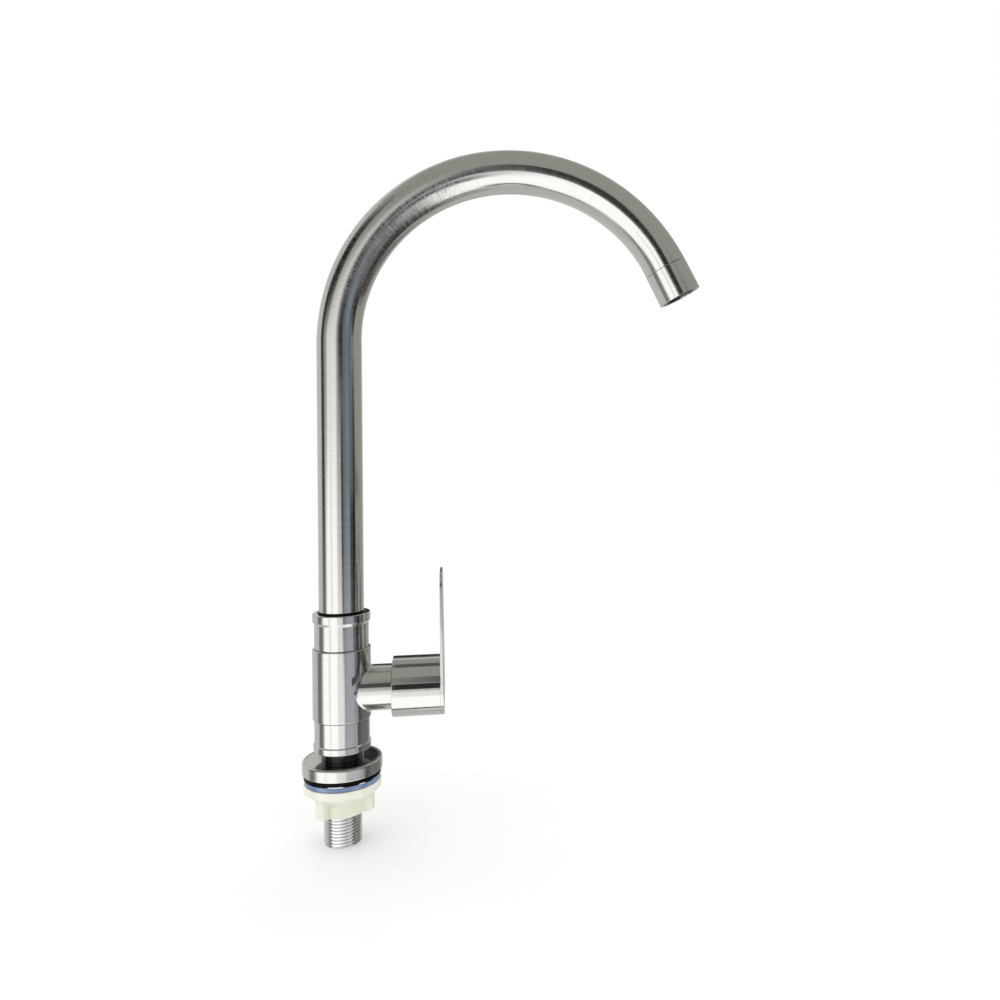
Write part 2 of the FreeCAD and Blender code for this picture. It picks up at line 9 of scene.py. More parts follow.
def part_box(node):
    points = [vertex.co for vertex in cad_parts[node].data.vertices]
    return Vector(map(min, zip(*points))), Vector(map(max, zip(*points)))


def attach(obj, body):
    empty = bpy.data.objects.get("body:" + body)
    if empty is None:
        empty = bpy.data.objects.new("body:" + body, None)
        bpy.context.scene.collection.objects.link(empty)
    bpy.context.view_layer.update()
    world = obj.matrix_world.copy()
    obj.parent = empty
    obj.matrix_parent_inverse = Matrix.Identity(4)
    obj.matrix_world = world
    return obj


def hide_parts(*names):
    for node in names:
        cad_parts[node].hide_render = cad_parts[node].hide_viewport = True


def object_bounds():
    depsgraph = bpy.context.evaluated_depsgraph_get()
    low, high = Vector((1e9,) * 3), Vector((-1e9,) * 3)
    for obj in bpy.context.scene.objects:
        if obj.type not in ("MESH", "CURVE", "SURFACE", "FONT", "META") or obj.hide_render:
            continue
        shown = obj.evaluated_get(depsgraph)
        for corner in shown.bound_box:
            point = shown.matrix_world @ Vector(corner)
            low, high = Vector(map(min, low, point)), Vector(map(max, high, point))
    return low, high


# Kitchen tap with a swan-neck spout, dressed in satin stainless steel. Blender units are metres;
# sizes named here are millimetres, and the mesh functions turn them into metres.

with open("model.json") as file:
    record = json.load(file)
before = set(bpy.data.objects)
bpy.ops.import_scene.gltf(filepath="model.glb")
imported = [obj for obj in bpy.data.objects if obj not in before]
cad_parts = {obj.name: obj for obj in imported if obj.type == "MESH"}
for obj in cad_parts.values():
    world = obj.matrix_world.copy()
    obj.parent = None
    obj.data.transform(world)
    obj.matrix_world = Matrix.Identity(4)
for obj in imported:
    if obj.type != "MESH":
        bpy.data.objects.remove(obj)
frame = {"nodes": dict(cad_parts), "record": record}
cad_low, cad_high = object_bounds()
nodes = frame["nodes"]
mm = 0.001


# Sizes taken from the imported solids, in millimetres

def low_of(node):
    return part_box(node)[0] / mm


def high_of(node):
    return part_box(node)[1] / mm


valve_z = (low_of("retaining_nut").z + high_of("retaining_nut").z) / 2
tube_foot_z = low_of("spout_tube").z
tube_r = -low_of("spout_tube").x
body_r = high_of("tee_body").y
body_z = low_of("tee_body").z
body_top_z = high_of("tee_body").z
collar_rim_r = high_of("upper_collar").y
collar_top_z = high_of("upper_collar").z
lower_rim_r = high_of("lower_collar").y
lower_collar_z = low_of("lower_collar").z
neck_z = low_of("neck_ring").z
neck_foot_r = high_of("neck_ring").y
flange_r = high_of("base_flange").y
shank_low = low_of("inlet_shank").z
shank_top = high_of("inlet_shank").z
thread_r = high_of("inlet_shank").y
rubber_r = high_of("rubber_washer").y
rubber_low = low_of("rubber_washer").z
clamp_r = high_of("clamp_washer").y
nut_z = low_of("clamp_washer").z
nut_foot_z = low_of("backnut").z
nut_r = high_of("backnut").y
branch_r = high_of("valve_socket").y
branch_mouth = high_of("valve_socket").x
sleeve_r = high_of("handle_sleeve").y
sleeve_start = low_of("handle_sleeve").x
blade_back = low_of("lever_blade").x
blade_front = high_of("lever_blade").x
lever_top = high_of("lever_blade").z

# Sizes that only show in the shape of a surface, in millimetres

bend_radius = 100.0
bend_angle = math.radians(153.1)
bend_z = 243.5
bend_flattening = 0.028      # how much thinner the bent tube is in the plane of the bend
bend_run_in = 30.0           # length over which the round tube becomes oval
spout_turn = math.radians(-4.2)
tube_wall = 1.0
tube_lip = 0.2               # rounding of the tube's ends
nozzle_length = 19.0
nozzle_start_r = 12.55       # the nozzle widens a little towards its mouth
nozzle_r = 12.8
nozzle_throat_r = 9.2
nozzle_spigot = 4.0
nozzle_seam = 0.3            # fine groove between tube and nozzle
nozzle_seam_depth = 1.0
aerator_r = 11.0
aerator_recess = 0.6
aerator_length = 9.4
aerator_wall = 1.2
aerator_lip = 1.0
aerator_washer_height = 1.5
collar_mouth_r = 12.9
collar_r = 15.05
collar_rim_height = 4.5
collar_rim_slope = 1.5
lower_collar_r = 15.3
lower_rim_height = 4.1
lower_rim_slope = 0.5
seam_height = 0.4            # dark grooves where the collars meet the body
seam_depth = 0.7
body_bore_r = 11.9
shade_ring_r = 13.0               # black ring around the foot of the tube, painted shade where it enters the collar
shade_ring_height = 1.1
shade_ring_depth = 1.2            # how far it reaches into the collar
shade_ring_slope = 0.5
shade_ring_lip = 0.15
shade_ring_gap = 0.02
shank_r = 10.3
shank_gap = 0.1
neck_ring_r = 11.3
neck_foot_height = 2.2
neck_foot_rim = 1.32         # straight part of the foot's height
shade_lip_r = 15.2            # thin black lip of the neck ring under the collar, painted shade standing in for the shadowed gap there
shade_lip = 0.35
flange_wall = 2.2
flange_boss_r = 13.0
flange_line_inset = 1.5      # fine line turned into the flange's top
flange_line_width = 0.5
flange_line_depth = 0.25
washer_bore_r = 10.88
skirt_edge = 0.03            # least height of the rubber washer's edge over the blue one
skirt_bend = 0.005           # where the wavy part of that edge starts
skirt_azimuths = [-180, -90, -60, -16, -13, 8, 11, 31, 33, 42, 44, 54, 58, 110, 180]
skirt_drops = [0.3, 0.4, 0.5, 0.5, 0, 0, 0.45, 0.45, 0, 0, 0.6, 0.6, 0.1, 0.2, 0.3]
painted_highlight_arcs = [(-14, 8), (33, 42)]    # where a highlight is painted on the blue washer's rim, in degrees
thread_pitch = 1.8143
thread_depth = 1.162
thread_crest = 0.36
thread_root = 0.30
thread_bevel = 1.0
thread_runout = 3.0
thread_flank_curve = 0.4     # share of the flank's section that is curved
shank_bore_r = 7.0
shank_bore_edge = 0.3
shank_top_edge = 0.4
nut_play = 0.06
nut_rounding = 0.6
nut_flange_height = 4.6
nut_cone_height = 5.6
nut_boss_r = 13.2
nut_lug_reach = 17.4
nut_lug_width = 6.2
nut_lug_count = 3
nut_lug_turn = math.radians(111.0)
sleeve_wall = 1.5
sleeve_lip = 0.8             # inward lip that closes the gap around the branch
sleeve_play = 0.12
lever_corner = 9.0
lever_edge = 0.3
lever_taper = 0.7            # how much thinner the lever is at its top
lever_waist = 1.3            # how much narrower it is at its shoulders, on each side
lever_waist_start = 26.0
branch_bore_r = 11.0
branch_edge = 0.4
branch_sink = 4.5            # how far the branch's wall reaches into the body
weld_width = 0.9             # small hollow weld between branch and body
weld_sink = 0.03             # how far the weld reaches into the body

skin_gap = 0.05              # between pieces that fit into each other
sharp = 0.1                  # rounding of edges that look sharp
round_steps = 192            # points around a turned piece
corner_steps = 5             # steps on a rounded corner


# Placing

def outlet_place():
    """Place of a piece at the spout's outlet; it is built along Z from the end of the bend."""
    end = Vector((bend_radius * (1 - math.cos(bend_angle)), 0,
                  bend_z + bend_radius * math.sin(bend_angle)))
    turn = Matrix.Rotation(spout_turn, 4, "Z")
    return turn @ Matrix.Translation(end) @ Matrix.Rotation(bend_angle, 4, "Y")


upright = Matrix.Identity(4)
at_outlet = outlet_place()
at_valve = Matrix.Translation((0, 0, valve_z)) @ Matrix.Rotation(math.radians(90), 4, "Y")


# Meshes

def make_piece(name, points, faces, uv, turning, normals=None, place=upright):
    """Mesh object from points in millimetres, with its normals and brushing coordinates."""
    rotation = np.array(place.to_3x3())
    moved = np.asarray(points, float) @ rotation.T + np.array(place.translation)
    mesh = bpy.data.meshes.new(name)
    mesh.from_pydata((moved * mm).tolist(), [], faces)
    mesh.polygons.foreach_set("use_smooth", [True] * len(mesh.polygons))
    attribute = mesh.attributes.new("turning", "FLOAT_VECTOR", "POINT")
    attribute.data.foreach_set("vector", np.asarray(turning, float).ravel())
    layer = mesh.uv_layers.new(name="brushing")
    layer.data.foreach_set("uv", np.asarray(uv, float).ravel())
    mesh.update()
    if normals is not None:
        facing = np.asarray(normals, float) @ rotation.T
        mesh.normals_split_custom_set_from_vertices(facing.tolist())
    piece = bpy.data.objects.new(name, mesh)
    bpy.context.scene.collection.objects.link(piece)
    return piece


def ring_faces(rows, columns, closed=True):
    """Quads and their uv for a grid of rows, each of them a ring of columns."""
    faces = []
    uv = []
    for i in range(rows if closed else rows - 1):
        below = i * columns
        above = (i + 1) % rows * columns
        for j in range(columns):
            k = (j + 1) % columns
            faces.append((below + j, below + k, above + k, above + j))
            left, right, low, high = j / columns, (j + 1) / columns, i / rows, (i + 1) / rows
            uv.extend([(left, low), (right, low), (right, high), (left, high)])
    return faces, uv


def quarter_turn(steps=corner_steps):
    """Angles from nought to a quarter turn."""
    return [k / steps * math.pi / 2 for k in range(steps + 1)]


def rounded(corners):
    """Points and outward normals of a closed half section of (radius, height, rounding)."""
    points = []
    normals = []
    count = len(corners)
    for i in range(count):
        before, here, after = [Vector(corners[j % count][:2]) for j in (i - 1, i, i + 1)]
        into = (here - before).normalized()
        out = (after - here).normalized()
        turn = math.atan2(into.x * out.y - into.y * out.x, into.dot(out))
        side = 1 if turn > 0 else -1
        size = corners[i][2]
        facing = Vector((into.y, -into.x))
        centre = here - into * size * math.tan(abs(turn) / 2) - facing * size * side
        for k in range(corner_steps + 1):
            normal = Matrix.Rotation(turn * k / corner_steps, 2) @ facing
            points.append(centre + normal * size * side)
            normals.append(normal)
    return points, normals


def turned(name, corners, place=upright):
    """Closed solid of revolution about Z, with true normals, from its rounded half section."""
    section, facing = rounded(corners)
    run = 0.0
    points = []
    normals = []
    turning = []
    for i, (p, n) in enumerate(zip(section, facing)):
        if i:
            run += (p - section[i - 1]).length
        for j in range(round_steps):
            angle = 2 * math.pi * j / round_steps
            c = math.cos(angle)
            s = math.sin(angle)
            points.append((p.x * c, p.x * s, p.y))
            normals.append((n.x * c, n.x * s, n.y))
            turning.append((c, s, run))
    faces, uv = ring_faces(len(section), round_steps)
    return make_piece(name, points, faces, uv, turning, normals, place)


# Spout

def swan_neck():
    """Riser and bend in one tube with its wall; the bend is slightly oval."""
    riser_rings = 30
    bend_rings = 220
    inside_step = 6          # the inside needs only one in so many rings
    straight = bend_z - tube_foot_z
    total = straight + bend_radius * bend_angle
    points = []
    normals = []
    turning = []

    def ring(s, inset, lean):
        """One ring at s along the tube; lean tips its normals from across to along."""
        reach = min(max(s - straight, 0.0), total - s) / bend_run_in
        oval = bend_flattening * (1 - (1 - min(reach, 1.0)) ** 2)
        angle = max(s - straight, 0.0) / bend_radius
        along = Vector((math.sin(angle), 0, math.cos(angle)))
        outward = Vector((-math.cos(angle), 0, math.sin(angle)))
        middle = Vector((0, 0, tube_foot_z + s))
        if s > straight:
            middle = Vector((bend_radius, 0, bend_z)) + outward * bend_radius
        for j in range(round_steps):
            turn = 2 * math.pi * j / round_steps
            c = math.cos(turn)
            w = -math.sin(turn)
            away = outward * c * (1 - oval) + Vector((0, w, 0))
            facing = (outward * c + Vector((0, w * (1 - oval), 0))).normalized()
            points.append(middle + away * (tube_r - inset))
            normals.append(facing * math.cos(lean) + along * math.sin(lean))
            turning.append((c, w, s))

    for a in quarter_turn():
        ring(tube_lip * (1 - math.cos(a)), tube_lip * (1 - math.sin(a)), a - math.pi / 2)
    stations = list(np.linspace(tube_lip, straight, riser_rings)[1:-1])
    stations += list(np.linspace(straight, total - tube_lip, bend_rings)[:-1])
    for s in stations:
        ring(s, 0.0, 0.0)
    for a in quarter_turn():
        ring(total - tube_lip * (1 - math.sin(a)), tube_lip * (1 - math.cos(a)), a)
    for s in [total] + stations[::-inside_step] + [0.0]:
        ring(s, tube_wall, math.pi)
    faces, uv = ring_faces(len(points) // round_steps, round_steps)
    return make_piece("spout_tube_skin", points, faces, uv, turning, normals,
                      Matrix.Rotation(spout_turn, 4, "Z"))


def nozzle():
    seat = nozzle_length - aerator_recess - aerator_length - aerator_washer_height
    socket = aerator_r + skin_gap
    spigot = tube_r - tube_wall - skin_gap
    groove = nozzle_start_r - nozzle_seam_depth
    return turned("outlet_nozzle_skin", [
        (nozzle_throat_r, seat, sharp), (nozzle_throat_r, -nozzle_spigot, sharp),
        (spigot, -nozzle_spigot, sharp), (spigot, 0.0, 0.02), (groove, 0.0, 0.02),
        (groove, nozzle_seam, 0.02), (nozzle_start_r, nozzle_seam, 0.08),
        (nozzle_r, nozzle_length, 0.35), (socket, nozzle_length, 0.3), (socket, seat, 0.05)],
        at_outlet)


def aerator():
    end = nozzle_length - aerator_recess
    start = end - aerator_length
    wall_r = aerator_r - aerator_wall
    lip_r = wall_r - aerator_lip
    lip_z = end - aerator_lip
    return turned("aerator_housing_skin", [
        (wall_r, lip_z, sharp), (wall_r, start, sharp), (aerator_r, start, sharp),
        (aerator_r, end, 0.4), (lip_r, end, 0.15), (lip_r, lip_z, sharp)], at_outlet)


# Collars, body and branch

def upper_collar():
    rim_z = collar_top_z - collar_rim_height
    seam_r = collar_r - seam_depth
    seam_top = body_top_z + seam_height
    return turned("upper_collar_skin", [
        (collar_mouth_r, body_top_z, sharp), (seam_r, body_top_z, sharp),
        (seam_r, seam_top, sharp), (collar_r, seam_top, sharp),
        (collar_r, rim_z - collar_rim_slope, 0.5), (collar_rim_r, rim_z, 0.35),
        (collar_rim_r, collar_top_z, 0.5), (collar_mouth_r, collar_top_z, 0.35)])


def collar_shade_ring():
    """Black lip in the collar's mouth around the tube's foot; it is painted shade, a dark ring
    standing in for the shade where the tube enters the collar.
    """
    low = collar_top_z - shade_ring_depth
    top = collar_top_z + shade_ring_height
    inner = tube_r + shade_ring_gap
    outer = collar_mouth_r - shade_ring_gap
    return turned("collar_shade_ring", [
        (inner, low, sharp), (outer, low, sharp), (outer, collar_top_z, 0.02),
        (shade_ring_r, collar_top_z, 0.02), (shade_ring_r, top - shade_ring_slope, 0.3),
        (tube_r + shade_ring_lip, top, sharp), (inner, top, 0.05)])


def body():
    return turned("tee_body_skin", [
        (body_bore_r, body_z, sharp), (body_r, body_z, 0.5), (body_r, body_top_z, 0.5),
        (body_bore_r, body_top_z, sharp)])


def lower_collar():
    rim_z = lower_collar_z + lower_rim_height
    inner = shank_r + shank_gap
    seam_r = lower_collar_r - seam_depth
    seam_low = body_z - seam_height
    return turned("lower_collar_skin", [
        (inner, lower_collar_z, sharp), (lower_rim_r, lower_collar_z, 0.55),
        (lower_rim_r, rim_z - lower_rim_slope, 0.3), (lower_collar_r, rim_z, 0.12),
        (lower_collar_r, seam_low, sharp), (seam_r, seam_low, sharp), (seam_r, body_z, sharp),
        (inner, body_z, sharp)])


def branch():
    """Side branch, cut to the body's curve, with a small hollow weld around it."""
    points = []
    normals = []
    turning = []

    def ring(radius, x, along, across, on_body=False):
        """One ring around X; its normals lean along the branch and across it.

        x counts from the tap's axis or, with on_body, from the body's round side."""
        for j in range(round_steps):
            turn = 2 * math.pi * j / round_steps
            out = Vector((0, -math.sin(turn), math.cos(turn)))
            y = radius * out.y
            start = 0.0
            axis = Vector((1, 0, 0))
            if on_body:
                start = math.sqrt(body_r ** 2 - y ** 2)
                axis = Vector((start, y, 0)).normalized()
            points.append((start + x, y, valve_z + radius * out.z))
            normals.append((axis * along + out * across).normalized())
            turning.append((out.z, out.y, start + x))

    for a in quarter_turn(2 * corner_steps):
        ring(branch_r + weld_width * (1 - math.sin(a)),
             weld_width * (1 - math.cos(a)) - weld_sink, math.cos(a), math.sin(a), on_body=True)
    for a in quarter_turn():
        ring(branch_r - branch_edge * (1 - math.cos(a)),
             branch_mouth - branch_edge * (1 - math.sin(a)), math.sin(a), math.cos(a))
    for x in (branch_mouth, body_r - branch_sink):
        ring(branch_bore_r, x, 0, -1)
    faces, uv = ring_faces(len(points) // round_steps, round_steps)
    return make_piece("valve_socket_skin", points, faces, uv, turning, normals)


# Foot

def neck_ring():
    inner = shank_r + shank_gap
    lip_z = lower_collar_z - shade_lip
    return turned("neck_ring_skin", [
        (inner, neck_z, sharp), (neck_foot_r, neck_z, 0.3),
        (neck_foot_r, neck_z + neck_foot_rim, 0.3), (neck_ring_r, neck_z + neck_foot_height, 0.5),
        # the black lip under the collar is painted shade for the shadowed gap
        (neck_ring_r, lip_z, 0.2), (shade_lip_r, lip_z, sharp),
        (shade_lip_r, lower_collar_z, sharp), (inner, lower_collar_z, sharp)])


def flange():
    top = neck_z
    roof = top - flange_wall
    inner = flange_r - flange_wall
    line_outer = flange_r - flange_line_inset
    line_inner = line_outer - flange_line_width
    line_low = top - flange_line_depth
    return turned("base_flange_skin", [
        (washer_bore_r, 0, sharp), (flange_boss_r, 0, sharp), (flange_boss_r, roof, 0.3),
        (inner, roof, 0.3), (inner, 0, sharp), (flange_r, 0, 0.5), (flange_r, top, 1.0),
        (line_outer, top, 0.08), (line_outer, line_low, 0.08), (line_inner, line_low, 0.08),
        (line_inner, top, 0.08), (washer_bore_r, top, 0.2)])


def rubber_washer():
    """Soft washer; its lower edge hangs over the blue washer in waves."""
    skirt = clamp_r + skin_gap
    skirt_low = rubber_low - skirt_edge
    washer = turned("rubber_washer_skin", [
        (washer_bore_r, rubber_low, 0.2), (skirt, rubber_low, 0.01), (skirt, skirt_low, 0.01),
        (rubber_r, skirt_low, 0.02), (rubber_r, 0, 0.5), (washer_bore_r, 0, 0.2)])
    for vertex in washer.data.vertices:
        x, y, z = vertex.co / mm
        if z < rubber_low - skirt_bend:
            azimuth = math.degrees(math.atan2(x, -y))
            vertex.co.z -= np.interp(azimuth, skirt_azimuths, skirt_drops) * mm
    return washer


def clamp_washer():
    return turned("clamp_washer_skin", [
        (washer_bore_r, nut_z, 0.2), (clamp_r, nut_z, 0.6), (clamp_r, rubber_low, 0.25),
        (washer_bore_r, rubber_low, 0.2)])


def helical_thread():
    """Threaded shank: the radius follows the thread's section along a right-hand helix."""
    columns = 144
    row_step = 0.1
    slope_step = row_step / 4
    crest = thread_crest / 2
    flank = (thread_pitch - thread_root) / 2 - crest

    def radius(z, turn):
        phase = ((z - thread_runout) / thread_pitch - turn + 0.5) % 1 - 0.5
        share = np.clip((np.abs(phase) * thread_pitch - crest) / flank, 0, 1)
        curved = share * share * (3 - 2 * share)
        worn = (1 - thread_flank_curve) * share + thread_flank_curve * curved
        cone = thread_r - thread_bevel + (z - shank_low)
        fade = np.clip((z - thread_runout + thread_pitch) / thread_pitch, 0, 1)
        thread = (thread_r - thread_depth * worn) * (1 - fade) + shank_r * fade
        return np.minimum(thread, cone)

    turn = np.arange(columns) / columns
    angle = 2 * np.pi * turn
    points = []
    normals = []
    turning = []

    def ring(radii, z, slope, facing):
        """One ring of points; slope is how fast the radius grows with height."""
        around = -slope * thread_pitch / (2 * np.pi) / radii
        out_x = np.cos(angle) + around * np.sin(angle)
        out_y = np.sin(angle) - around * np.cos(angle)
        n = np.stack([out_x, out_y, -slope], 1) * facing
        points.extend(np.stack([radii * np.cos(angle), radii * np.sin(angle),
                                np.full(columns, z)], 1).tolist())
        normals.extend((n / np.linalg.norm(n, axis=1)[:, None]).tolist())
        turning.extend([(math.cos(a), math.sin(a), z) for a in angle])

    plain = np.zeros(columns)
    ring(plain + shank_bore_r + shank_bore_edge, shank_low, plain, -1)
    for z in np.arange(shank_low, thread_runout, row_step):
        rise = radius(z + slope_step, turn) - radius(z - slope_step, turn)
        ring(radius(z, turn), z, rise / (2 * slope_step), 1)
    for z in (thread_runout, shank_top - shank_top_edge):
        ring(plain + shank_r, z, plain, 1)
    ring(plain + shank_r - shank_top_edge, shank_top, plain, 1)
    for z in (shank_top, shank_low + shank_bore_edge):
        ring(plain + shank_bore_r, z, plain, -1)
    faces, uv = ring_faces(len(points) // columns, columns)
    return make_piece("inlet_shank_skin", points, faces, uv, turning, normals)


def backnut():
    """Moulded nut: round flange, cone and boss with lugs blended into them."""
    before = 0.02            # radians on both sides of a lug's flank that get finer steps
    after = 0.03
    end_steps = 5
    flank_steps = 16
    height_steps = 34
    blend = 30               # the higher, the tighter the corners between lug and boss
    least_sine = 0.001
    rim_z = nut_z - nut_flange_height
    cone_z = rim_z - nut_cone_height
    bore = thread_r + nut_play
    half = math.pi / nut_lug_count
    half_width = nut_lug_width / 2
    near = math.asin(half_width / nut_lug_reach) - before
    far = math.asin(half_width / nut_boss_r) + after
    one_side = np.concatenate([np.linspace(0, near, end_steps)[:-1],
                               np.linspace(near, far, flank_steps),
                               np.linspace(far, half, flank_steps)[1:-1]])
    offsets = np.concatenate([-one_side[:0:-1], one_side, [half]])
    angle = np.concatenate([offsets + nut_lug_turn + 2 * half * i for i in range(nut_lug_count)])
    offset = np.tile(offsets, nut_lug_count)
    end_r = nut_lug_reach / np.cos(offset)
    side_r = half_width / np.maximum(np.abs(np.sin(offset)), least_sine)
    lug = (end_r ** -blend + side_r ** -blend) ** (-1 / blend)
    points = []
    turning = []

    def ring(radii, z):
        points.extend(np.stack([radii * np.cos(angle), radii * np.sin(angle),
                                np.full(len(angle), z)], 1).tolist())
        turning.extend([(math.cos(a), math.sin(a), z) for a in angle])

    def outline(z):
        """Radius all the way round at a height below the flange."""
        share = min(max((z - cone_z) / nut_cone_height, 0), 1)
        base = nut_boss_r + (nut_r - nut_rounding - nut_boss_r) * share
        return (base ** blend + lug ** blend) ** (1 / blend)

    plain = np.zeros(len(angle))
    ring(plain + bore, nut_foot_z + nut_rounding)
    ring(plain + bore + nut_rounding, nut_foot_z)
    for a in quarter_turn():
        ring(outline(nut_foot_z) - nut_rounding * (1 - math.sin(a)),
             nut_foot_z + nut_rounding * (1 - math.cos(a)))
    for z in np.linspace(nut_foot_z + 2 * nut_rounding, rim_z, height_steps):
        ring(np.minimum(outline(z), nut_r - nut_rounding), z)
    for a in quarter_turn():
        ring(plain + nut_r - nut_rounding * (1 - math.sin(a)),
             rim_z + nut_rounding * (1 - math.cos(a)))
    for a in quarter_turn():
        ring(plain + nut_r - nut_rounding * (1 - math.cos(a)),
             nut_z - nut_rounding * (1 - math.sin(a)))
    ring(plain + bore, nut_z)
    faces, uv = ring_faces(len(points) // len(angle), len(angle))
    return make_piece("backnut_skin", points, faces, uv, turning)


# Handle

def handle_sleeve():
    inner = sleeve_r - sleeve_wall
    throat = branch_r + sleeve_play
    lip_end = sleeve_start + sleeve_lip
    return turned("handle_sleeve_skin", [
        (inner, lip_end, sharp), (throat, lip_end, sharp), (throat, sleeve_start, sharp),
        (sleeve_r, sleeve_start, 0.45), (sleeve_r, blade_back, 0.15),
        (inner, blade_back, sharp)], at_valve)


def lever_blade():
    """Flat lever, welded to the sleeve's end; half a circle below and two round corners above."""
    arc_steps = 48
    side_steps = 24
    shoulder = lever_top - lever_corner
    inset = sleeve_r - lever_corner
    back_edge = lever_edge / 3
    waist_z = valve_z + lever_waist_start
    waist_run = shoulder - waist_z
    side_z = [valve_z + (shoulder - valve_z) * k / side_steps for k in range(1, side_steps)]

    def waist(z):
        """How much narrower the lever is at this height, and the slope of its edge there."""
        share = min(max((z - waist_z) / waist_run, 0), 1)
        return lever_waist * share ** 2, 2 * lever_waist * share / waist_run

    outline = []
    for k in range(2 * arc_steps + 1):
        a = math.pi + math.pi * k / (2 * arc_steps)
        outline.append((sleeve_r * math.cos(a), valve_z + sleeve_r * math.sin(a),
                        math.cos(a), math.sin(a)))
    outline += [(sleeve_r, z, 1.0, 0.0) for z in side_z]
    for centre, start in ((inset, 0.0), (-inset, math.pi / 2)):
        for a in quarter_turn(arc_steps):
            a += start
            outline.append((centre + lever_corner * math.cos(a),
                            shoulder + lever_corner * math.sin(a), math.cos(a), math.sin(a)))
    outline += [(-sleeve_r, z, -1.0, 0.0) for z in reversed(side_z)]
    for k, (y, z, ny, nz) in enumerate(outline):
        narrow, slope = waist(z)
        tilted = Vector((ny, nz + abs(ny) * slope)).normalized()
        outline[k] = (y * (1 - narrow / sleeve_r), z, tilted.x, tilted.y)
    points = []
    normals = []
    turning = []

    def ring(x, shrink, tip):
        for y, z, ny, nz in outline:
            rise = max(z - valve_z, 0) / (lever_top - valve_z)
            thin = lever_taper * rise * (x - blade_back) / (blade_front - blade_back)
            points.append((x - thin, y - ny * shrink, z - nz * shrink))
            normals.append((math.sin(tip), ny * math.cos(tip), nz * math.cos(tip)))
            turning.append((x / sleeve_r, y / sleeve_r, z))

    for a in quarter_turn():
        ring(blade_back + back_edge * (1 - math.cos(a)), back_edge * (1 - math.sin(a)),
             a - math.pi / 2)
    for a in quarter_turn():
        ring(blade_front - lever_edge * (1 - math.sin(a)), lever_edge * (1 - math.cos(a)), a)
    count = len(outline)
    faces, uv = ring_faces(2 * corner_steps + 2, count, closed=False)
    last = (2 * corner_steps + 1) * count
    faces.append(tuple(range(count - 1, -1, -1)))
    faces.append(tuple(last + j for j in range(count)))
    for cap in (outline[::-1], outline):
        uv.extend([(z / lever_top, y / sleeve_r) for y, z, _, _ in cap])
    return make_piece("lever_blade_skin", points, faces, uv, turning, normals)


# Materials

class Nodes:
    """Adds nodes to one node tree; each call gives back the new node's output socket."""

    def __init__(self, tree):
        self.tree = tree

    def put(self, kind, inputs=None, output=0, **settings):
        node = self.tree.nodes.new(kind)
        for key, value in settings.items():
            setattr(node, key, value)
        for key, value in (inputs or {}).items():
            socket = node.inputs[key]
            if isinstance(value, bpy.types.NodeSocket):
                self.tree.links.new(value, socket)
            else:
                socket.default_value = value
        return node.outputs[output]

    def sum(self, a, b, operation="ADD"):
        return self.put("ShaderNodeMath", {0: a, 1: b}, operation=operation)

    def times(self, a, b):
        return self.sum(a, b, "MULTIPLY")

    def range(self, value, low, high, to_low=0.0, to_high=1.0, soft=True):
        """value from low..high turned into to_low..to_high, held at both ends."""
        kind = "SMOOTHSTEP" if soft else "LINEAR"
        return self.put("ShaderNodeMapRange", {"Value": value, "From Min": low, "From Max": high,
                                               "To Min": to_low, "To Max": to_high},
                        interpolation_type=kind)

    def within(self, value, low, high, soft):
        """1 between low and high, with soft edges centred on both, and 0 elsewhere."""
        rise = self.range(value, low - soft / 2, low + soft / 2)
        fall = self.range(value, high - soft / 2, high + soft / 2, 1.0, 0.0)
        return self.times(rise, fall)

    def scaled(self, vector, scale):
        return self.put("ShaderNodeVectorMath", {0: vector, 1: scale}, operation="MULTIPLY")

    def split(self, vector):
        """The vector's x, y and z."""
        return self.put("ShaderNodeSeparateXYZ", {0: vector}).node.outputs

    def azimuth(self, x, y):
        """Degrees around Z: 0 on the camera's side and 90 on the lever's side."""
        return self.times(self.sum(x, self.times(y, -1.0), "ARCTAN2"), 180 / math.pi)

    def object_place(self):
        return self.put("ShaderNodeTexCoord", output="Object")

    def bump(self, height, depth, distance):
        return self.put("ShaderNodeBump", {"Strength": depth, "Distance": distance,
                                           "Height": height})

    def noise(self, place, scale, detail=3.0, roughness=0.5):
        return self.put("ShaderNodeTexNoise", {"Vector": place, "Scale": scale, "Detail": detail,
                                               "Roughness": roughness})

    def mix(self, share, a, b, blend="MIX"):
        return self.put("ShaderNodeMix", {0: share, 6: a, 7: b}, output=2, data_type="RGBA",
                        blend_type=blend, clamp_factor=True)


def colour(r, g, b):
    return (r, g, b, 1.0)


def new_material(name, **constants):
    """Material with a principled shader; constants are set on its own sockets."""
    material = bpy.data.materials.new(name)
    material.use_nodes = True
    shader = material.node_tree.nodes["Principled BSDF"]
    for key, value in constants.items():
        shader.inputs[key.replace("_", " ")].default_value = value
    return material, Nodes(material.node_tree), shader


def link(n, socket, shader, name):
    n.tree.links.new(socket, shader.inputs[name])


